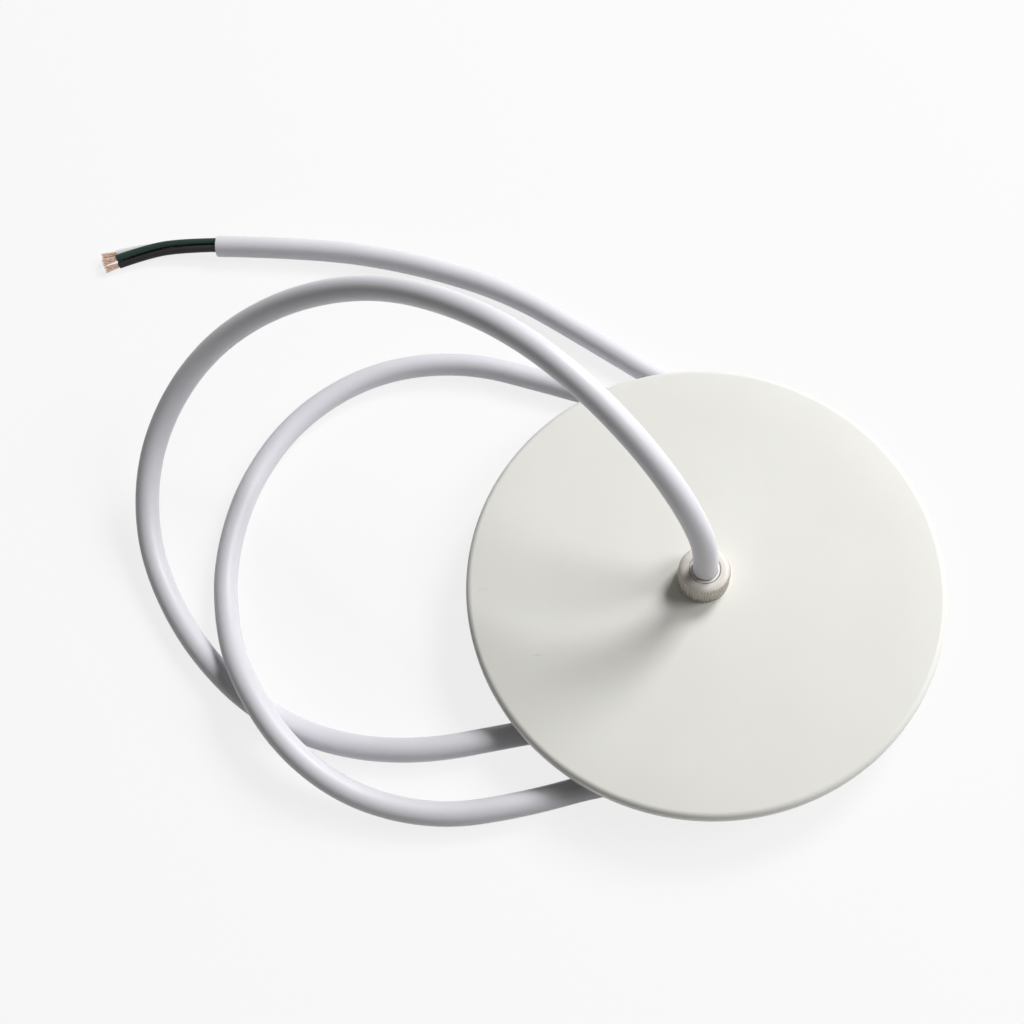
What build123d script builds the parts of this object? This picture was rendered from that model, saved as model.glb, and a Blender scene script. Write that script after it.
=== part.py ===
from build123d import *
import os
from math import cos, pi, radians, sin, sqrt, tan

# Flat ceiling canopy with a cord grip and its flexible cord, in millimetres.
# z = 0 is the back of the mounting bar, where it sits on the ears of the ceiling box.
# +Z points out of the canopy's face, into the room.

# Canopy plate, a shallow pan pressed from sheet steel
plate_d = 120.0
plate_depth = 3.2
sheet = 1.2
bend_r = 0.4
ear_recess = 3.0

# Mounting bar across the ceiling box, with slots for two box screw spacings
bar_length = 104.0
bar_width = 18.0
bar_t = 1.6
bar_corner_r = 4.0
screw_near = 70.0
screw_far = 89.0
slot_w = 4.8

# Threaded nipple, with the nut and washer behind the bar
cord_d = 6.2
bore_clearance = 1.0
nipple_wall = 1.35
nipple_tail = 0.8
nipple_chamfer = 0.4
thread_clearance = 0.1
plate_clearance = 0.2
washer_d = 16.0
washer_t = 0.8
washer_teeth = 10
tooth_gap_w = 1.4
tooth_gap_depth = 1.5
nut_across_flats = 14.0
nut_t = 2.8
nut_corner_chamfer = 0.6

# Ground screw in the bar
ground_x = -20.0
ground_d = 4.0
ground_flange_d = 9.0
ground_flange_t = 0.6
ground_head_flats = 7.0
ground_head_t = 1.8
ground_slot_w = 1.0
ground_slot_depth = 0.9
ground_tip = 0.2

# Cord grip: a knurled cap that screws down on the nipple and squeezes a split collet
cap_wall = 1.45
cap_height = 7.0
cap_lip = 1.0
cap_round = 1.7
cap_foot_chamfer = 0.3
knurl_count = 60
knurl_depth = 0.35
knurl_tip_margin = 0.06
grip_engage = 4.0
collet_clearance = 0.1
collet_nose_wall = 0.55
collet_shoulder_gap = 0.3
mouth_clearance = 0.15
cone_gap = 0.25
nose_inset = 0.1
split_w = 0.8
split_turn = 120
slit_w = 0.5
slit_count = 3
slit_crown = 1.2

# Conductors of the cord
lead_d = 2.1
lead_gap = 0.3
lead_set_off = 0.15
copper_d = 1.3
copper_length = 4.6

# Heights and radii that follow
rim_z = ear_recess
face_z = rim_z + plate_depth
bore_r = (cord_d + bore_clearance) / 2
nipple_r = bore_r + nipple_wall
thread_r = nipple_r + thread_clearance
plate_hole_r = nipple_r + plate_clearance
washer_z = -washer_t
nut_z = washer_z - nut_t
nipple_low = nut_z - nipple_tail
nipple_top = face_z + grip_engage
cap_r = thread_r + cap_wall
cap_top = face_z + cap_height
collet_bore_r = cord_d / 2 + collet_clearance
nose_r = collet_bore_r + collet_nose_wall
mouth_r = nose_r + mouth_clearance
collet_r = thread_r - collet_shoulder_gap
ground_r = ground_d / 2
ground_hole_r = ground_r + thread_clearance
lead_ring_r = (lead_d + lead_gap) / sqrt(3)


def up_from(z, solid):
    """Place a solid, made upwards from the origin, at height z."""
    return Pos(0, 0, z) * solid


def cylinder_up(radius, height):
    return Cylinder(radius, height, align=(Align.CENTER, Align.CENTER, Align.MIN))


def turned(*corners):
    """Solid of revolution about Z, from (radius, height) corners."""
    return revolve(Plane.XZ * make_face(Polyline(*corners, close=True)), Axis.Z)


def top_circle(solid):
    return solid.edges().filter_by(GeomType.CIRCLE).sort_by(Axis.Z)[-1]


def end_circles(solid):
    circles = solid.edges().filter_by(GeomType.CIRCLE).sort_by(Axis.Z)
    return [circles[0], circles[-1]]


def hexagon(across_flats):
    return RegularPolygon(across_flats / 2, 6, major_radius=False)


def canopy_plate():
    """Outer pan less its hollow, so the wall and the bend keep the sheet's thickness."""
    outside = cylinder_up(plate_d / 2, plate_depth)
    outside = fillet(top_circle(outside), bend_r + sheet)
    hollow = cylinder_up(plate_d / 2 - sheet, plate_depth - sheet)
    hollow = fillet(top_circle(hollow), bend_r)
    hole = cylinder_up(plate_hole_r, plate_depth)
    return up_from(rim_z, outside - hollow - hole)


def mounting_bar():
    """Flat punched bar: nipple hole, two long slots and the ground screw's hole."""
    slot_reach = (screw_far - screw_near) / 2
    slot_middle = (screw_far + screw_near) / 4
    outline = RectangleRounded(bar_length, bar_width, bar_corner_r)
    outline -= Circle(thread_r)
    outline -= Pos(ground_x, 0) * Circle(ground_hole_r)
    for side in (-1, 1):
        outline -= Pos(side * slot_middle, 0) * SlotCenterToCenter(slot_reach, slot_w)
    return extrude(outline, bar_t)


def threaded_nipple():
    tube = cylinder_up(nipple_r, nipple_top - nipple_low)
    tube = chamfer(end_circles(tube), nipple_chamfer)
    return up_from(nipple_low, tube - cylinder_up(bore_r, nipple_top - nipple_low))


def lock_washer():
    """External tooth washer: a ring with notches round its edge."""
    ring = Circle(washer_d / 2) - Circle(thread_r)
    notch = Rectangle(2 * tooth_gap_depth, tooth_gap_w)
    for spot in PolarLocations(washer_d / 2, washer_teeth):
        ring -= spot * notch
    return up_from(washer_z, extrude(ring, washer_t))


def chamfered_hexagon(across_flats, height, corner_chamfer):
    """Hexagon bar with its corners turned off at both ends."""
    turned_blank = cylinder_up(across_flats / sqrt(3), height)
    turned_blank = chamfer(end_circles(turned_blank), corner_chamfer)
    return extrude(hexagon(across_flats), height) & turned_blank


def lock_nut():
    blank = chamfered_hexagon(nut_across_flats, nut_t, nut_corner_chamfer)
    return up_from(nut_z, blank - cylinder_up(thread_r, nut_t))


def ground_screw():
    """Flanged hexagon screw, slotted, with its head on the wiring side of the bar."""
    head_z = -ground_flange_t - ground_head_t
    slot = Box(ground_flange_d, ground_slot_w, 2 * ground_slot_depth)
    screw = up_from(head_z, extrude(hexagon(ground_head_flats), ground_head_t) - slot)
    screw += up_from(-ground_flange_t, cylinder_up(ground_flange_d / 2, ground_flange_t))
    screw += cylinder_up(ground_r, bar_t + ground_tip)
    return Pos(ground_x, 0, 0) * screw


def grip_collet():
    """Split nylon collet: a seat on the nipple, a cone inside the cap, a nose in its mouth."""
    cone_low = cap_top - cap_lip - (thread_r - mouth_r)
    shoulder_z = cone_low + (thread_r - collet_r) - cone_gap
    nose_z = cone_low + (thread_r - nose_r) - cone_gap
    collet = turned(
        (collet_bore_r, nipple_top),
        (collet_r, nipple_top),
        (collet_r, shoulder_z),
        (nose_r, nose_z),
        (nose_r, cap_top - nose_inset),
        (collet_bore_r, cap_top - nose_inset),
    )
    cut_length = 2 * collet_r
    split_height = cap_top - nose_inset - nipple_top
    split = Box(cut_length, split_w, split_height, align=(Align.MIN, Align.CENTER, Align.MIN))
    collet -= Rot(0, 0, split_turn) * up_from(nipple_top, split)
    slit = Box(cut_length, slit_w, split_height - slit_crown, align=(Align.MIN, Align.CENTER, Align.MIN))
    for number in range(1, slit_count + 1):
        turn = split_turn + 360 * number / (slit_count + 1)
        collet -= Rot(0, 0, turn) * up_from(nipple_top, slit)
    return collet


def grip_cap():
    """Knurled cap: straight serrations that run out on the rounded shoulder."""
    tips_and_roots = []
    for number in range(2 * knurl_count):
        radius = cap_r if number % 2 == 0 else cap_r - knurl_depth
        angle = pi * number / knurl_count
        tips_and_roots.append((radius * cos(angle), radius * sin(angle)))
    serrated = extrude(Polygon(*tips_and_roots, align=None), cap_height)
    envelope = cylinder_up(cap_r + knurl_tip_margin, cap_height)
    envelope = chamfer(end_circles(envelope)[0], cap_foot_chamfer)
    envelope = fillet(top_circle(envelope), cap_round)
    cone_height = thread_r - mouth_r
    inside = turned(
        (0, 0),
        (thread_r, 0),
        (thread_r, cap_height - cap_lip - cone_height),
        (mouth_r, cap_height - cap_lip),
        (mouth_r, cap_height),
        (0, cap_height),
    )
    return up_from(face_z, (serrated & envelope) - inside)


def bend_radii(points):
    """Largest arc at each corner that leaves a tenth of the shorter run straight."""
    radii = []
    for before, corner, after in zip(points, points[1:], points[2:]):
        run_in = Vector(*corner) - Vector(*before)
        run_out = Vector(*after) - Vector(*corner)
        half_turn = radians(run_in.get_angle(run_out)) / 2
        radii.append(0.45 * min(run_in.length, run_out.length) / tan(half_turn))
    return radii


def flexible(name, points, diameter):
    """Round cord or lead: straight runs joined by tangent arcs, swept with a circle."""
    radii = bend_radii(points)
    path = FilletPolyline(*points, radius=radii)
    section = Plane(origin=points[0], z_dir=path % 0) * Circle(diameter / 2)
    tube = sweep(section, path=path)
    expected = pi * diameter**2 / 4 * path.length
    print(f"{name}: length {path.length:.1f}, volume ratio {tube.volume / expected:.5f}")
    print("  radii", " ".join(f"{radius:.1f}" for radius in radii))
    return tube


def bare_end(points):
    """Twisted copper strands past the insulation, as one rod along the last run."""
    along = Vector(*points[-1]) - Vector(*points[-2])
    return Plane(origin=points[-1], z_dir=along) * cylinder_up(copper_d / 2, copper_length)


# Route of the cord, from its end in the nipple over the plate's edge and round two loose loops.
# The low level is the cord's centre where it lies on the table.
low = -4.65
cord_route = [
    (0, 0, 4), (0, 0, 26), (-6, 5, 44), (-16, 14.5, 56), (-29, 26.5, 63), (-43, 38.5, 64.5), (-58, 49, 61.5),
    (-74, 57.5, 56), (-91, 62.5, 48), (-108.5, 63.5, 38.5), (-125, 59.5, 28), (-138, 50, 17), (-146, 36.5, 6.5),
    (-147, 20, -1.5), (-141.5, 4, low), (-130.5, -13, low), (-115, -28, low), (-95, -38, low), (-72, -41, low),
    (-48, -38, low), (-25, -35, low), (-2, -28, low), (17, -14, low), (25, 8, low), (20, 30, low),
    (4, 46, low), (-16, 55, low), (-38, 63, low), (-62, 71, low), (-87, 69, low), (-108, 56, low),
    (-121, 36, low), (-126, 13, low), (-123, -8, -2), (-116, -24, 3), (-104, -41, 3), (-88, -52, -2.5),
    (-67, -57, low), (-46, -55, low), (-26, -51, low), (-4, -49, low), (18, -43, low), (39, -30, low),
    (52, -9, low), (52, 15, low), (39, 36, low), (18, 49, low), (-5, 59, low), (-27, 75, low),
    (-50, 92, low), (-78, 104, low), (-107, 111, low), (-135, 113, low),
]

# Leads at the lamp end: a bundle that leaves the jacket and twists a quarter turn to its tips.
lamp_bundle = [(-135, 113, low), (-145.5, 113.4, -4.9), (-156, 112, -5.2), (-166, 108.6, -5.4)]
bundle_twist = [0, 20, 50, 75]
lamp_lead_turn = {"green": 30, "black": 150, "white": 270}


def lamp_lead_route(start_turn):
    """Points of one lead, set off round the bundle's middle line in the Y and Z directions."""
    route = []
    for (x, y, z), twist in zip(lamp_bundle, bundle_twist):
        angle = radians(start_turn + twist)
        route.append((x, y + lead_ring_r * cos(angle), z + lead_ring_r * sin(angle)))
    x, y, z = route[0]
    route[0] = (x - lead_set_off, y, z)
    return route


# Leads at the ceiling end: out of the nipple's back, then fanned out on the table.
lead_low = -6.65
jacket_end_z = cord_route[0][2]
house_lead_turn = {"white": 180, "black": 60, "green": 300}
house_lead_lay = {
    "white": [(-4.4, 0, -6.6), (-13, 0.8, lead_low), (-26, -1.2, lead_low), (-40, 0.6, lead_low)],
    "black": [(-1.8, 3, -6.4), (-9, 7, lead_low), (-21, 10.5, lead_low), (-34, 11.5, lead_low)],
    "green": [(-1.8, -3, -6.4), (-9, -6.5, lead_low), (-20, -11.5, lead_low), (-33, -14, lead_low)],
}
house_drop_z = -3.4


def house_lead_route(colour):
    """Points of one lead: down inside the nipple, then along its lay on the table."""
    angle = radians(house_lead_turn[colour])
    x = lead_ring_r * cos(angle)
    y = lead_ring_r * sin(angle)
    return [(x, y, jacket_end_z - lead_set_off), (x, y, house_drop_z), *house_lead_lay[colour]]


parts = {
    "canopy_plate": canopy_plate(),
    "mounting_bar": mounting_bar(),
    "threaded_nipple": threaded_nipple(),
    "lock_washer": lock_washer(),
    "lock_nut": lock_nut(),
    "ground_screw": ground_screw(),
    "grip_collet": grip_collet(),
    "grip_cap": grip_cap(),
    "cord": flexible("cord", cord_route, cord_d),
}
for colour, start_turn in lamp_lead_turn.items():
    route = lamp_lead_route(start_turn)
    parts[f"lamp_lead_{colour}"] = flexible(f"lamp_lead_{colour}", route, lead_d)
    parts[f"lamp_copper_{colour}"] = bare_end(route)
for colour in house_lead_turn:
    route = house_lead_route(colour)
    parts[f"house_lead_{colour}"] = flexible(f"house_lead_{colour}", route, lead_d)
    parts[f"house_copper_{colour}"] = bare_end(route)

os.makedirs("parts", exist_ok=True)
for name, solid in parts.items():
    export_step(solid, f"parts/{name}.step")
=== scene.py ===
import math
import bpy
from mathutils import Matrix, Vector


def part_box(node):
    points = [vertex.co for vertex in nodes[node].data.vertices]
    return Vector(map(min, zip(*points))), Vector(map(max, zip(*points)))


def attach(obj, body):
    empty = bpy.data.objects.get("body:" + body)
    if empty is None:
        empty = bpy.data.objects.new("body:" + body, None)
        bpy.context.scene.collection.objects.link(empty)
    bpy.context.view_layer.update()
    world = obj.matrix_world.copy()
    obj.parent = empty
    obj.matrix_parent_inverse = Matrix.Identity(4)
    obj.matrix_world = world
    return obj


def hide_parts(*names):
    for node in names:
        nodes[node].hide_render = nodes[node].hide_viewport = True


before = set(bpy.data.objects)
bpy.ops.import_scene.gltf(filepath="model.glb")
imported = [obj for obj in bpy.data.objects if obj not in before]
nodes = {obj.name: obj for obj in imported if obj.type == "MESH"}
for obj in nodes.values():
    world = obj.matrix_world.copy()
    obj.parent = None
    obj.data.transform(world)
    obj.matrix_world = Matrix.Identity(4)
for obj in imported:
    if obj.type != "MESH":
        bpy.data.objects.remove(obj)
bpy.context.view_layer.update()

# Mounting bar: a strip of zinc plated steel, punched with two slots and two holes.
# It lies across the ceiling box behind the plate, and carries everything else.
noise_low = 0.3
noise_high = 0.7


def new_finish(name):
    """A material with its node tree and its shader."""
    material = bpy.data.materials.new(name)
    material.use_nodes = True
    tree = material.node_tree
    return material, tree, tree.nodes["Principled BSDF"]


def grain(tree, scale, detail=3.0, stretch=(1.0, 1.0, 1.0)):
    """Noise over the piece's own coordinates, with its pattern drawn out by stretch."""
    place = tree.nodes.new("ShaderNodeTexCoord")
    mapping = tree.nodes.new("ShaderNodeMapping")
    mapping.inputs["Scale"].default_value = stretch
    noise = tree.nodes.new("ShaderNodeTexNoise")
    noise.inputs["Scale"].default_value = scale
    noise.inputs["Detail"].default_value = detail
    tree.links.new(place.outputs["Object"], mapping.inputs["Vector"])
    tree.links.new(mapping.outputs["Vector"], noise.inputs["Vector"])
    return noise.outputs["Fac"]


def spread(tree, factor, low, high):
    """The noise factor drawn out between two values."""
    span = tree.nodes.new("ShaderNodeMapRange")
    span.inputs["From Min"].default_value = noise_low
    span.inputs["From Max"].default_value = noise_high
    span.inputs["To Min"].default_value = low
    span.inputs["To Max"].default_value = high
    tree.links.new(factor, span.inputs["Value"])
    return span.outputs["Result"]


def tint(tree, factor, low, high):
    """The noise factor drawn out between two colours."""
    ramp = tree.nodes.new("ShaderNodeValToRGB")
    ramp.color_ramp.elements[0].position = noise_low
    ramp.color_ramp.elements[0].color = (*low, 1.0)
    ramp.color_ramp.elements[1].position = noise_high
    ramp.color_ramp.elements[1].color = (*high, 1.0)
    tree.links.new(factor, ramp.inputs["Fac"])
    return ramp.outputs["Color"]


def relief(tree, shader, height, strength, depth):
    """Fine surface relief, depth in metres."""
    bump = tree.nodes.new("ShaderNodeBump")
    bump.inputs["Strength"].default_value = strength
    bump.inputs["Distance"].default_value = depth
    tree.links.new(height, bump.inputs["Height"])
    tree.links.new(bump.outputs["Normal"], shader.inputs["Normal"])


def plated_metal(name, dark, light, rough_low, rough_high):
    """Plated steel: cloudy plating, with fine rolling marks along X."""
    material, tree, shader = new_finish(name)
    shader.inputs["Metallic"].default_value = 1.0
    cloud = grain(tree, scale=120.0)
    tree.links.new(tint(tree, cloud, dark, light), shader.inputs["Base Color"])
    tree.links.new(spread(tree, cloud, rough_low, rough_high), shader.inputs["Roughness"])
    rolling_marks = grain(tree, scale=900.0, detail=4.0, stretch=(0.05, 1.0, 1.0))
    relief(tree, shader, rolling_marks, strength=0.25, depth=0.00003)
    return material


def dress(node, material):
    """Give a CAD node its finish."""
    for slot in nodes[node].material_slots:
        slot.material = material


zinc = plated_metal(
    "zinc_plate", dark=(0.50, 0.52, 0.55), light=(0.66, 0.67, 0.68), rough_low=0.28, rough_high=0.42,
)
dress("mounting_bar", zinc)

# Threaded nipple: a hollow zinc plated tube with a fine lamp thread from end to end.
# It screws through the bar, and the cord runs inside it.
nipple_low, nipple_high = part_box("threaded_nipple")
thread_crest_r = nipple_high.x
nipple_bore_r = 0.0036
thread_pitch = 0.001
thread_depth = 0.00045
thread_lead_in = 0.0008
thread_segments = 64
thread_sharp_angle = 50.0
rings_per_pitch = 8


def skin(name, rings, material, sharp=35.0):
    """A closed tube of rings: up the outside, over the top and down the inside."""
    count = len(rings[0])
    points = [point for ring in rings for point in ring]
    faces = []
    for level in range(len(rings)):
        above = (level + 1) % len(rings)
        for step in range(count):
            beside = (step + 1) % count
            faces.append((
                level * count + step,
                level * count + beside,
                above * count + beside,
                above * count + step,
            ))
    mesh = bpy.data.meshes.new(name)
    mesh.from_pydata(points, [], faces)
    mesh.materials.append(material)
    return shade(bpy.data.objects.new(name, mesh), sharp)


def shade(piece, sharp):
    """Link a mesh piece, smooth it and keep the edges past an angle in degrees sharp."""
    piece.data.polygons.foreach_set("use_smooth", [True] * len(piece.data.polygons))
    piece.data.set_sharp_from_angle(angle=math.radians(sharp))
    piece.data.update()
    if piece.name not in bpy.context.scene.collection.objects:
        bpy.context.scene.collection.objects.link(piece)
    return piece


def circle(radius, height, count):
    """One ring of points; radius may be a number or a function of the angle."""
    ring = []
    for step in range(count):
        angle = math.tau * step / count
        reach = radius(angle) if callable(radius) else radius
        ring.append((reach * math.cos(angle), reach * math.sin(angle), height))
    return ring


def thread_ring(height):
    """The thread's ring at one height: a triangle wave that climbs with the angle."""
    ends = min(height - nipple_low.z, nipple_high.z - height) / thread_lead_in
    reach = thread_crest_r - thread_depth * max(0.0, 1.0 - ends)

    def radius(angle):
        wave = abs(2.0 * ((height / thread_pitch - angle / math.tau) % 1.0) - 1.0)
        return min(reach, thread_crest_r - thread_depth * wave)

    return circle(radius, height, thread_segments)


thread_levels = round((nipple_high.z - nipple_low.z) / thread_pitch * rings_per_pitch)
nipple_rings = []
for level in range(thread_levels + 1):
    climb = level / thread_levels
    nipple_rings.append(thread_ring(nipple_low.z + climb * (nipple_high.z - nipple_low.z)))
nipple_rings.append(circle(nipple_bore_r, nipple_high.z, thread_segments))
nipple_rings.append(circle(nipple_bore_r, nipple_low.z, thread_segments))
nipple = skin("nipple_tube", nipple_rings, zinc, thread_sharp_angle)
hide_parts("threaded_nipple")
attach(nipple, "base")

# Lock washer and lock nut: a toothed spring steel washer and a thin hexagon nut.
# They clamp the nipple to the bar from behind.
dress("lock_nut", zinc)
dress("lock_washer", plated_metal(
    "spring_plate", dark=(0.34, 0.34, 0.35), light=(0.50, 0.50, 0.51), rough_low=0.3, rough_high=0.45,
))

# Ground screw: a flanged hexagon screw dyed green over its plating.
# It is driven into the bar from the wiring side.
dress("ground_screw", plated_metal(
    "green_dye", dark=(0.03, 0.20, 0.08), light=(0.07, 0.30, 0.13), rough_low=0.3, rough_high=0.45,
))

# Canopy plate: a shallow pan pressed from sheet steel and powder coated satin white.
# The cap clamps it to the ceiling, over the ceiling box.
plate_low, plate_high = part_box("canopy_plate")
plate_r = plate_high.x
plate_sheet = 0.0012
plate_bend = 0.0004
plate_hole_r = 0.00515
plate_segments = 192
inner_bend_steps = 4
outer_bend_steps = 12
face_ring_shares = (0.8, 0.6, 0.4, 0.2)
coat_low = (0.885, 0.88, 0.84)
coat_high = (0.91, 0.905, 0.865)
scuff_grey = (0.42, 0.41, 0.39)
scuff_core = 0.2
scuffs = [
    {"middle": (-0.0418, -0.0191), "half_length": 0.0013, "half_width": 0.0004, "wear": 0.4},
    {"middle": (-0.0555, -0.0015), "half_length": 0.0019, "half_width": 0.0006, "wear": 0.18},
]


def bend(middle_r, middle_z, radius, start, end, steps):
    """Profile points of a rounded corner, from one angle in degrees to another."""
    corner = []
    for step in range(steps + 1):
        angle = math.radians(start + (end - start) * step / steps)
        corner.append((middle_r + radius * math.cos(angle), middle_z + radius * math.sin(angle)))
    return corner


def coat_of_powder():
    """Satin white powder coat: faint clouding, orange peel, and two small scuffs."""
    material, tree, shader = new_finish("powder_coat")
    colour = tint(tree, grain(tree, scale=45.0), coat_low, coat_high)
    for scuff in scuffs:
        place = tree.nodes.new("ShaderNodeTexCoord")
        apart = tree.nodes.new("ShaderNodeVectorMath")
        apart.operation = "SUBTRACT"
        apart.inputs[1].default_value = (*scuff["middle"], plate_high.z)
        tree.links.new(place.outputs["Object"], apart.inputs[0])
        drawn_out = tree.nodes.new("ShaderNodeVectorMath")
        drawn_out.operation = "DIVIDE"
        drawn_out.inputs[1].default_value = (scuff["half_length"], scuff["half_width"], plate_sheet)
        tree.links.new(apart.outputs["Vector"], drawn_out.inputs[0])
        reach = tree.nodes.new("ShaderNodeVectorMath")
        reach.operation = "LENGTH"
        tree.links.new(drawn_out.outputs["Vector"], reach.inputs[0])
        worn = tree.nodes.new("ShaderNodeMapRange")
        worn.inputs["From Min"].default_value = 1.0
        worn.inputs["From Max"].default_value = scuff_core
        worn.inputs["To Max"].default_value = scuff["wear"]
        tree.links.new(reach.outputs["Value"], worn.inputs["Value"])
        patch = tree.nodes.new("ShaderNodeMath")
        patch.operation = "MULTIPLY"
        tree.links.new(worn.outputs["Result"], patch.inputs[0])
        tree.links.new(spread(tree, grain(tree, scale=2600.0), low=0.0, high=1.0), patch.inputs[1])
        mix = tree.nodes.new("ShaderNodeMix")
        mix.data_type = "RGBA"
        mix.inputs["B"].default_value = (*scuff_grey, 1.0)
        tree.links.new(patch.outputs["Value"], mix.inputs["Factor"])
        tree.links.new(colour, mix.inputs["A"])
        colour = mix.outputs["Result"]
    tree.links.new(colour, shader.inputs["Base Color"])
    satin = spread(tree, grain(tree, scale=300.0), low=0.40, high=0.48)
    tree.links.new(satin, shader.inputs["Roughness"])
    orange_peel = grain(tree, scale=1100.0, detail=2.0)
    relief(tree, shader, orange_peel, strength=0.12, depth=0.00004)
    return material


plate_edge = plate_bend + plate_sheet
bend_middle = (plate_r - plate_edge, plate_high.z - plate_edge)
plate_profile = [(plate_hole_r, plate_high.z - plate_sheet), (bend_middle[0], plate_high.z - plate_sheet)]
plate_profile += bend(*bend_middle, plate_bend, 90, 0, inner_bend_steps)[1:]
plate_profile += [(plate_r - plate_sheet, plate_low.z), (plate_r, plate_low.z)]
plate_profile += bend(*bend_middle, plate_edge, 0, 90, outer_bend_steps)
plate_profile += [(plate_r * share, plate_high.z) for share in face_ring_shares]
plate_profile += [(plate_hole_r, plate_high.z)]
plate_rings = [circle(reach, height, plate_segments) for reach, height in plate_profile]
plate = skin("canopy_pan", plate_rings, coat_of_powder())
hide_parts("canopy_plate")
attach(plate, "base")


# Grip collet: a split ring of natural nylon that sits on the nipple's end.
# The cap squeezes it onto the cord, and only its thin nose shows in the cap's mouth.
def moulded(name, low, high, rough):
    """Moulded plastic: slight clouding of the colour, and a fine matt skin."""
    material, tree, shader = new_finish(name)
    tree.links.new(tint(tree, grain(tree, scale=160.0), low, high), shader.inputs["Base Color"])
    uneven = spread(tree, grain(tree, scale=700.0), low=rough - 0.05, high=rough + 0.05)
    tree.links.new(uneven, shader.inputs["Roughness"])
    relief(tree, shader, grain(tree, scale=2500.0, detail=2.0), strength=0.15, depth=0.00002)
    return material


dress("grip_collet", moulded("nylon", low=(0.80, 0.79, 0.76), high=(0.86, 0.85, 0.82), rough=0.45))

# Grip cap: a moulded cap in warm white, screwed down over the collet.
# Straight serrations run up its side and die out on the rounded shoulder.
cap_low, cap_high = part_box("grip_cap")
cap_r = cap_high.x
rib_count = 52
rib_depth = 0.00042
rib_half_width = 0.00028
rib_sunk = 0.0002
rib_tip_drop = 0.00008
rib_tip_share = 0.3
rib_run_out_shares = (0.4, 0.7, 1.0)
cap_segments = 96
cap_sharp_angle = 35.0
cap_foot = 0.0003
cap_foot_inset = 0.0002
cap_shoulder_r = 0.0017
cap_shoulder_steps = 10
cap_margin = 0.00006
cap_thread_r = 0.00505
cap_mouth_r = 0.0039
cap_mouth_chamfer = 0.00025
cap_lip = 0.001
cap_root_r = cap_r - rib_depth
shoulder_middle_r = cap_r + cap_margin - cap_shoulder_r
shoulder_middle_z = cap_high.z - cap_shoulder_r
shoulder_start = math.acos((cap_root_r - shoulder_middle_r) / cap_shoulder_r)
cap_plastic = moulded("warm_white_plastic", low=(0.77, 0.73, 0.67), high=(0.83, 0.79, 0.73), rough=0.4)


def shoulder_r(height):
    """Radius of the cap's rounded envelope at one height."""
    rise = min(max(0.0, height - shoulder_middle_z), cap_shoulder_r)
    return shoulder_middle_r + math.sqrt(cap_shoulder_r**2 - rise**2)


def turned_copies():
    """Node tree that repeats one piece evenly round the Z axis."""
    tree = bpy.data.node_groups.new("turned_copies", "GeometryNodeTree")
    tree.interface.new_socket("Geometry", in_out="INPUT", socket_type="NodeSocketGeometry")
    tree.interface.new_socket("Count", in_out="INPUT", socket_type="NodeSocketInt")
    tree.interface.new_socket("Finish", in_out="INPUT", socket_type="NodeSocketMaterial")
    tree.interface.new_socket("Geometry", in_out="OUTPUT", socket_type="NodeSocketGeometry")
    given = tree.nodes.new("NodeGroupInput")
    made = tree.nodes.new("NodeGroupOutput")
    points = tree.nodes.new("GeometryNodePoints")
    number = tree.nodes.new("GeometryNodeInputIndex")
    step = tree.nodes.new("ShaderNodeMath")
    step.operation = "DIVIDE"
    step.inputs[0].default_value = math.tau
    turn = tree.nodes.new("ShaderNodeMath")
    turn.operation = "MULTIPLY"
    angles = tree.nodes.new("ShaderNodeCombineXYZ")
    copies = tree.nodes.new("GeometryNodeInstanceOnPoints")
    realize = tree.nodes.new("GeometryNodeRealizeInstances")
    finish = tree.nodes.new("GeometryNodeSetMaterial")
    tree.links.new(given.outputs["Count"], points.inputs["Count"])
    tree.links.new(given.outputs["Count"], step.inputs[1])
    tree.links.new(step.outputs["Value"], turn.inputs[0])
    tree.links.new(number.outputs["Index"], turn.inputs[1])
    tree.links.new(turn.outputs["Value"], angles.inputs["Z"])
    tree.links.new(points.outputs["Points"], copies.inputs["Points"])
    tree.links.new(given.outputs["Geometry"], copies.inputs["Instance"])
    tree.links.new(angles.outputs["Vector"], copies.inputs["Rotation"])
    tree.links.new(copies.outputs["Instances"], realize.inputs["Geometry"])
    tree.links.new(realize.outputs["Geometry"], finish.inputs["Geometry"])
    tree.links.new(given.outputs["Finish"], finish.inputs["Material"])
    tree.links.new(finish.outputs["Geometry"], made.inputs["Geometry"])
    return tree


round_axis = turned_copies()


def repeat_round(piece, count, material):
    """Turn a one-copy mesh piece into count copies round Z, as a plain mesh."""
    bpy.context.scene.collection.objects.link(piece)
    modifier = piece.modifiers.new("copies", "NODES")
    modifier.node_group = round_axis
    values = {"Count": count, "Finish": material}
    for socket in round_axis.interface.items_tree:
        if socket.in_out == "INPUT" and socket.name in values:
            modifier[socket.identifier] = values[socket.name]
    view = bpy.context.evaluated_depsgraph_get()
    mesh = bpy.data.meshes.new_from_object(piece.evaluated_get(view))
    piece.modifiers.clear()
    piece.data = mesh
    return piece


def joined(name, pieces, sharp):
    """Several mesh pieces as one piece."""
    bpy.ops.object.select_all(action="DESELECT")
    for piece in pieces:
        piece.select_set(True)
    bpy.context.view_layer.objects.active = pieces[0]
    bpy.ops.object.join()
    whole = pieces[0]
    whole.name = name
    return shade(whole, sharp)


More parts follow.
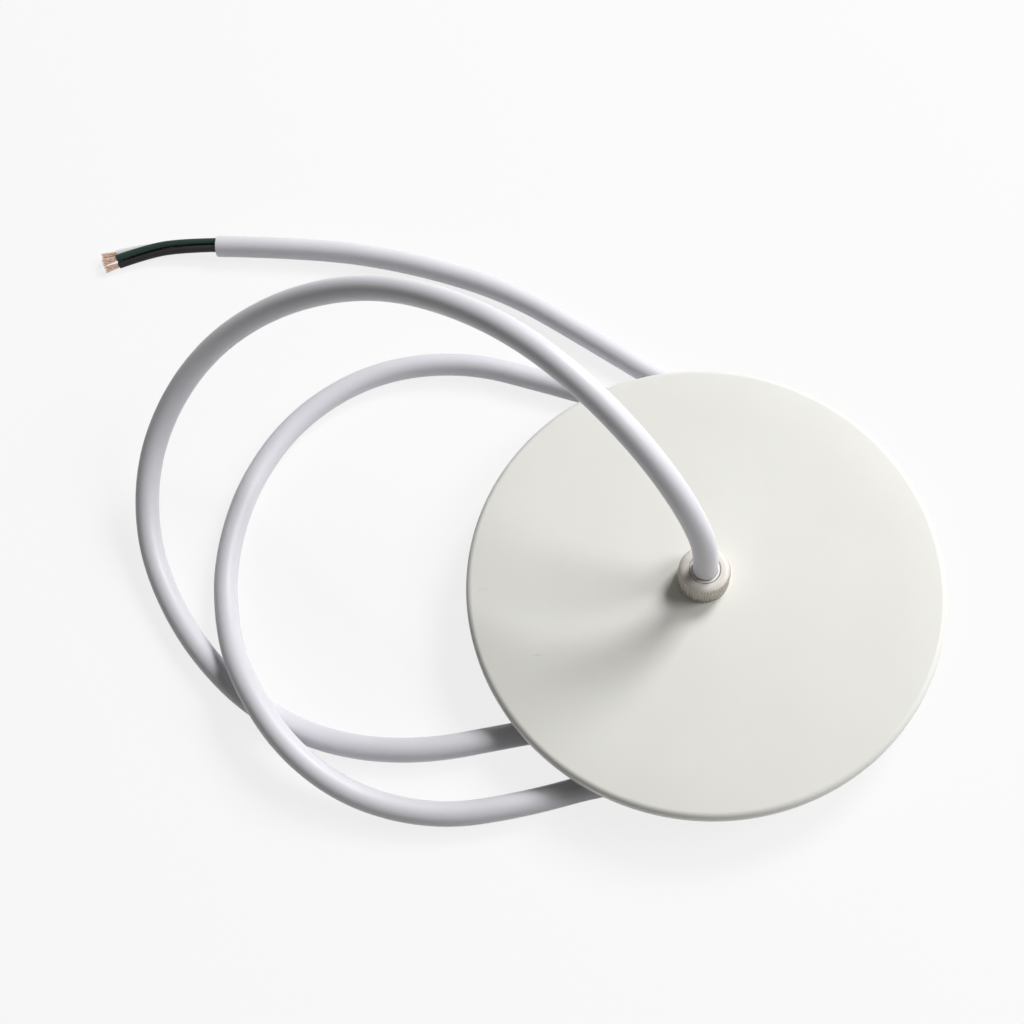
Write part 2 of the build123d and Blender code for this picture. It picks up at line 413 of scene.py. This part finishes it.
def serration():
    """One straight rib on the +X side, its tip following the cap's rounded envelope."""
    run_out = cap_shoulder_r * math.sin(shoulder_start)
    heights = [cap_low.z, cap_low.z + cap_foot, shoulder_middle_z]
    heights += [shoulder_middle_z + share * run_out for share in rib_run_out_shares]
    root = cap_root_r - rib_sunk
    half_tip = rib_tip_share * rib_half_width
    points = []
    for height in heights:
        tip = min(cap_r, shoulder_r(height))
        if height == cap_low.z:
            tip -= cap_foot_inset
        points.append((root, -rib_half_width, height))
        points.append((tip - rib_tip_drop, -half_tip, height))
        points.append((tip, 0.0, height))
        points.append((tip - rib_tip_drop, half_tip, height))
        points.append((root, rib_half_width, height))
    sides = len(points) // len(heights)
    faces = []
    for level in range(len(heights) - 1):
        low, high = level * sides, (level + 1) * sides
        for side in range(sides):
            beside = (side + 1) % sides
            faces.append((low + side, low + beside, high + beside, high + side))
    faces.append(tuple(reversed(range(sides))))
    faces.append(tuple(range(len(points) - sides, len(points))))
    mesh = bpy.data.meshes.new("serration")
    mesh.from_pydata(points, [], faces)
    return bpy.data.objects.new("serration", mesh)


cap_cone_z = cap_high.z - cap_lip - (cap_thread_r - cap_mouth_r)
cap_profile = [(cap_root_r - cap_foot_inset, cap_low.z), (cap_root_r, cap_low.z + cap_foot)]
cap_profile += bend(
    shoulder_middle_r, shoulder_middle_z, cap_shoulder_r,
    math.degrees(shoulder_start), 90, cap_shoulder_steps,
)
cap_profile += [(cap_mouth_r + cap_mouth_chamfer, cap_high.z), (cap_mouth_r, cap_high.z - cap_mouth_chamfer)]
cap_profile += [(cap_mouth_r, cap_high.z - cap_lip), (cap_thread_r, cap_cone_z), (cap_thread_r, cap_low.z)]
cap_rings = [circle(reach, height, cap_segments) for reach, height in cap_profile]
cap_shell = skin("grip_cap_shell", cap_rings, cap_plastic, cap_sharp_angle)
cap_ribs = repeat_round(serration(), rib_count, cap_plastic)
cap = joined("knurled_cap", [cap_shell, cap_ribs], cap_sharp_angle)
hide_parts("grip_cap")
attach(cap, "cap")

# Cord: round three-core flex in a satin white vinyl jacket, about 1.16 m long.
# It leaves the cap straight up, arches over the plate's edge and lies in two loose loops.
table_cord_z = -0.00465
cord_d = 0.0062
cord_route = [
    (0.0, 0.0, 0.004), (0.0, 0.0, 0.0125), (0.0, 0.0, 0.0205), (-0.0016, 0.0013, 0.0315),
    (-0.007, 0.0059, 0.0445), (-0.016, 0.0145, 0.0555), (-0.029, 0.0265, 0.063),
    (-0.043, 0.0385, 0.0645), (-0.058, 0.049, 0.0615), (-0.074, 0.0575, 0.056),
    (-0.091, 0.0625, 0.048), (-0.1085, 0.0635, 0.0385), (-0.125, 0.0595, 0.028),
    (-0.138, 0.050, 0.017), (-0.146, 0.0365, 0.0065), (-0.147, 0.020, -0.0015),
    (-0.1415, 0.004, table_cord_z),
    (-0.1305, -0.013, table_cord_z), (-0.115, -0.028, table_cord_z), (-0.095, -0.038, table_cord_z),
    (-0.072, -0.0405, table_cord_z), (-0.048, -0.0362, table_cord_z), (-0.025, -0.0325, table_cord_z),
    (-0.002, -0.028, table_cord_z), (0.017, -0.014, table_cord_z), (0.025, 0.008, table_cord_z),
    (0.020, 0.030, table_cord_z), (0.004, 0.046, table_cord_z), (-0.016, 0.055, table_cord_z),
    (-0.038, 0.063, table_cord_z), (-0.062, 0.071, table_cord_z), (-0.087, 0.069, table_cord_z),
    (-0.108, 0.056, table_cord_z), (-0.121, 0.036, table_cord_z), (-0.126, 0.013, table_cord_z),
    (-0.123, -0.008, -0.002), (-0.116, -0.024, 0.003), (-0.104, -0.041, 0.003),
    (-0.088, -0.052, -0.0025),
    (-0.067, -0.0567, table_cord_z), (-0.046, -0.0538, table_cord_z), (-0.026, -0.0485, table_cord_z),
    (-0.004, -0.0465, table_cord_z), (0.018, -0.0415, table_cord_z), (0.039, -0.030, table_cord_z),
    (0.052, -0.009, table_cord_z), (0.052, 0.015, table_cord_z), (0.039, 0.036, table_cord_z),
    (0.018, 0.049, table_cord_z), (-0.005, 0.0605, table_cord_z), (-0.027, 0.077, table_cord_z),
    (-0.050, 0.0935, table_cord_z), (-0.078, 0.1045, table_cord_z), (-0.107, 0.111, table_cord_z),
    (-0.1363, 0.113, table_cord_z),
]


def vinyl(name, low, high, rough, gloss=0.5):
    """Extruded vinyl: faint clouding, and a slightly uneven skin of the given roughness and gloss."""
    material, tree, shader = new_finish(name)
    shader.inputs["Specular IOR Level"].default_value = gloss
    tree.links.new(tint(tree, grain(tree, scale=60.0), low, high), shader.inputs["Base Color"])
    uneven = spread(tree, grain(tree, scale=220.0), low=rough - 0.06, high=rough + 0.06)
    tree.links.new(uneven, shader.inputs["Roughness"])
    relief(tree, shader, grain(tree, scale=500.0), strength=0.1, depth=0.00006)
    return material


def flexible(name, route, diameter, material, node):
    """A cord or lead: a smooth spline with the route's points as its control points."""
    curve = bpy.data.curves.new(name, "CURVE")
    curve.dimensions = "3D"
    curve.resolution_u = 12
    curve.bevel_depth = diameter / 2
    curve.bevel_resolution = 8
    curve.use_fill_caps = True
    spline = curve.splines.new("NURBS")
    spline.points.add(len(route) - 1)
    for point, place in zip(spline.points, route):
        point.co = (*place, 1.0)
    spline.order_u = 3
    spline.use_endpoint_u = True
    curve.materials.append(material)
    piece = bpy.data.objects.new(name, curve)
    bpy.context.scene.collection.objects.link(piece)
    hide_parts(node)
    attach(piece, "base")
    return piece


jacket = vinyl("white_vinyl", low=(0.79, 0.783, 0.84), high=(0.83, 0.823, 0.88), rough=0.42)
cord = flexible("flex_cord", cord_route, cord_d, jacket, "cord")

# Lamp leads: the three insulated conductors bared of their jacket at the free end.
# They lie close together in a slight bow, with bare copper strands at their tips.
lead_d = 0.0021
lamp_lead_lay = {
    "green": [
        (-0.13645, 0.1142, -0.00396), (-0.1462, 0.1146, -0.0041),
        (-0.1567, 0.1138, -0.0045), (-0.1668, 0.1104, -0.0049),
    ],
    "black": [
        (-0.13645, 0.1118, -0.00396), (-0.1462, 0.1124, -0.0046),
        (-0.1567, 0.1121, -0.0058), (-0.1663, 0.1089, -0.0063),
    ],
    "white": [
        (-0.13645, 0.1130, -0.00604), (-0.1462, 0.1142, -0.0062),
        (-0.1567, 0.1154, -0.0061), (-0.1673, 0.1125, -0.0056),
    ],
}
insulation = {
    "green": vinyl(
        "green_vinyl", low=(0.012, 0.034, 0.027), high=(0.018, 0.046, 0.037), rough=0.38, gloss=0.3,
    ),
    "black": vinyl(
        "black_vinyl", low=(0.012, 0.011, 0.013), high=(0.018, 0.017, 0.019), rough=0.38, gloss=0.3,
    ),
    "white": vinyl("white_core_vinyl", low=(0.80, 0.80, 0.84), high=(0.85, 0.85, 0.88), rough=0.4),
}

strand_d = 0.00028
strand_lay = 0.03
strand_splay = 0.6
strand_rings = {1: 0.0, 6: strand_d, 12: 2 * strand_d}
strand_sides = 6
strand_levels = 10
strand_end_taper = 0.5
strand_sharp_angle = 40.0
copper_length = 0.0044
copper_low = (0.60, 0.44, 0.35)
copper_high = (0.80, 0.62, 0.52)


def bare_copper():
    """Drawn copper wire, a little dulled in places."""
    material, tree, shader = new_finish("bare_copper")
    shader.inputs["Metallic"].default_value = 1.0
    colour = tint(tree, grain(tree, scale=1500.0), copper_low, copper_high)
    tree.links.new(colour, shader.inputs["Base Color"])
    dulled = spread(tree, grain(tree, scale=900.0), low=0.42, high=0.55)
    tree.links.new(dulled, shader.inputs["Roughness"])
    return material


copper = bare_copper()


def strand(reach, length):
    """One strand along Z, twisted round the bundle's axis and splayed out from it."""
    section = [Vector(point) for point in circle(strand_d / 2, 0.0, strand_sides)]
    points = []
    for level in range(strand_levels + 1):
        height = length * level / strand_levels
        angle = math.tau * height / strand_lay
        taper = strand_end_taper if level in (0, strand_levels) else 1.0
        splayed = reach * (1.0 + strand_splay * height / length)
        middle = Vector((splayed * math.cos(angle), splayed * math.sin(angle), height))
        points += [middle + point * taper for point in section]
    faces = []
    for level in range(strand_levels):
        low, high = level * strand_sides, (level + 1) * strand_sides
        for side in range(strand_sides):
            beside = (side + 1) % strand_sides
            faces.append((low + side, low + beside, high + beside, high + side))
    faces.append(tuple(reversed(range(strand_sides))))
    faces.append(tuple(range(len(points) - strand_sides, len(points))))
    mesh = bpy.data.meshes.new("strand")
    mesh.from_pydata(points, [], faces)
    return bpy.data.objects.new("strand", mesh)


def copper_end(name, route, node):
    """The bare strands past one lead's insulation, along its last run."""
    layers = []
    for count, reach in strand_rings.items():
        layers.append(repeat_round(strand(reach, copper_length), count, copper))
    whole = joined(name, layers, strand_sharp_angle)
    along = Vector(route[-1]) - Vector(route[-2])
    turn = along.to_track_quat("Z", "Y").to_matrix().to_4x4()
    whole.data.transform(Matrix.Translation(route[-1]) @ turn)
    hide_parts(node)
    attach(whole, "base")
    return whole


def leads_with_copper(end, routes):
    """The three leads at one end of the cord, each with bare copper strands at its tip."""
    pieces = []
    for colour, route in routes.items():
        lead = flexible(
            f"{end}_wire_{colour}", route, lead_d, insulation[colour],
            f"{end}_lead_{colour}",
        )
        tip = copper_end(f"{end}_strands_{colour}", route, f"{end}_copper_{colour}")
        pieces += [lead, tip]
    return pieces


lamp_pieces = leads_with_copper("lamp", lamp_lead_lay)

# House leads: the same conductors at the ceiling end, for joining inside the ceiling box.
# They come out of the nipple's back and fan out flat under the plate.
table_lead_z = -0.00665
house_drop_z = -0.0034
lead_gap = 0.0003
lead_ring_r = (lead_d + lead_gap) / math.sqrt(3)
lead_set_off = 0.00015
house_lead_turn = {"white": 180, "black": 60, "green": 300}
house_lead_lay = {
    "white": [
        (-0.0044, 0.0, -0.0066), (-0.013, 0.0008, table_lead_z),
        (-0.026, -0.0012, table_lead_z), (-0.040, 0.0006, table_lead_z),
    ],
    "black": [
        (-0.0018, 0.003, -0.0064), (-0.009, 0.007, table_lead_z),
        (-0.021, 0.0105, table_lead_z), (-0.034, 0.0115, table_lead_z),
    ],
    "green": [
        (-0.0018, -0.003, -0.0064), (-0.009, -0.0065, table_lead_z),
        (-0.020, -0.0115, table_lead_z), (-0.033, -0.014, table_lead_z),
    ],
}


def house_lead_route(colour):
    """Points of one lead: down inside the nipple, then along its lay on the table."""
    angle = math.radians(house_lead_turn[colour])
    x = lead_ring_r * math.cos(angle)
    y = lead_ring_r * math.sin(angle)
    return [(x, y, cord_route[0][2] - lead_set_off), (x, y, house_drop_z), *house_lead_lay[colour]]


house_routes = {colour: house_lead_route(colour) for colour in house_lead_turn}
leads_with_copper("house", house_routes)

# Table, light and camera: a plain white table under the lowest turn of the cord.
# Two soft lights stand at the right and upper right of the view, in a dim, slightly warm room.
table_z = -0.0078
table_half = 6.0
table_colour = (0.88, 0.88, 0.88)
table_glow_share = 0.82
room_colour = (1.0, 0.97, 0.84)
room_strength = 0.06
backdrop_colour = (0.83, 0.83, 0.83)


def seen_rays(tree):
    """One for rays that look at the background: straight, in a reflection or through glass."""
    rays = tree.nodes.new("ShaderNodeLightPath")
    seen = rays.outputs["Is Camera Ray"]
    for kind in ("Is Glossy Ray", "Is Transmission Ray"):
        either = tree.nodes.new("ShaderNodeMath")
        either.operation = "MAXIMUM"
        tree.links.new(seen, either.inputs[0])
        tree.links.new(rays.outputs[kind], either.inputs[1])
        seen = either.outputs["Value"]
    return seen


def white_table():
    """Matt white that keeps soft shadows, and shows as white to the camera."""
    material, tree, shader = new_finish("white_table")
    shader.inputs["Base Color"].default_value = (*table_colour, 1.0)
    shader.inputs["Roughness"].default_value = 0.9
    glow = tree.nodes.new("ShaderNodeEmission")
    share = tree.nodes.new("ShaderNodeMath")
    share.operation = "MULTIPLY"
    share.inputs[1].default_value = table_glow_share
    tree.links.new(seen_rays(tree), share.inputs[0])
    mix = tree.nodes.new("ShaderNodeMixShader")
    tree.links.new(share.outputs["Value"], mix.inputs["Fac"])
    tree.links.new(shader.outputs["BSDF"], mix.inputs[1])
    tree.links.new(glow.outputs["Emission"], mix.inputs[2])
    tree.links.new(mix.outputs["Shader"], tree.nodes["Material Output"].inputs["Surface"])
    return material


table_mesh = bpy.data.meshes.new("table")
table_mesh.from_pydata(
    [(-table_half, -table_half, table_z), (table_half, -table_half, table_z),
     (table_half, table_half, table_z), (-table_half, table_half, table_z)],
    [], [(0, 1, 2, 3)],
)
table_mesh.materials.append(white_table())
table = bpy.data.objects.new("table", table_mesh)
bpy.context.scene.collection.objects.link(table)


def soft_light(name, place, size, power):
    """A square white area light that points at the canopy's middle."""
    lamp = bpy.data.lights.new(name, "AREA")
    lamp.size = size
    lamp.energy = power
    light = bpy.data.objects.new(name, lamp)
    light.location = place
    light.rotation_euler = (-Vector(place)).to_track_quat("-Z", "Y").to_euler()
    bpy.context.scene.collection.objects.link(light)


soft_light("window_upper_right", place=(0.906, 1.08, 1.27), size=0.64, power=26.9)
soft_light("window_right", place=(1.40, 0.17, 1.27), size=0.78, power=14.9)

world = bpy.data.worlds.new("pale_room")
world.use_nodes = True
room = world.node_tree
sky = room.nodes["Background"]
sky.inputs["Color"].default_value = (*room_colour, 1.0)
sky.inputs["Strength"].default_value = room_strength
backdrop = room.nodes.new("ShaderNodeBackground")
backdrop.inputs["Color"].default_value = (*backdrop_colour, 1.0)
room_mix = room.nodes.new("ShaderNodeMixShader")
room.links.new(seen_rays(room), room_mix.inputs["Fac"])
room.links.new(sky.outputs["Background"], room_mix.inputs[1])
room.links.new(backdrop.outputs["Background"], room_mix.inputs[2])
room.links.new(room_mix.outputs["Shader"], room.nodes["World Output"].inputs["Surface"])
bpy.context.scene.world = world
bpy.context.scene.view_settings.view_transform = "Standard"

lens = bpy.data.cameras.new("camera")
lens.sensor_width = 36.0
lens.lens = 49.2
camera = bpy.data.objects.new("camera", lens)
camera.location = (-0.0242, -0.1240, 0.3378)
camera.rotation_euler = (math.radians(23.38), math.radians(4.13), 0.0)
bpy.context.scene.collection.objects.link(camera)
bpy.context.scene.camera = camera
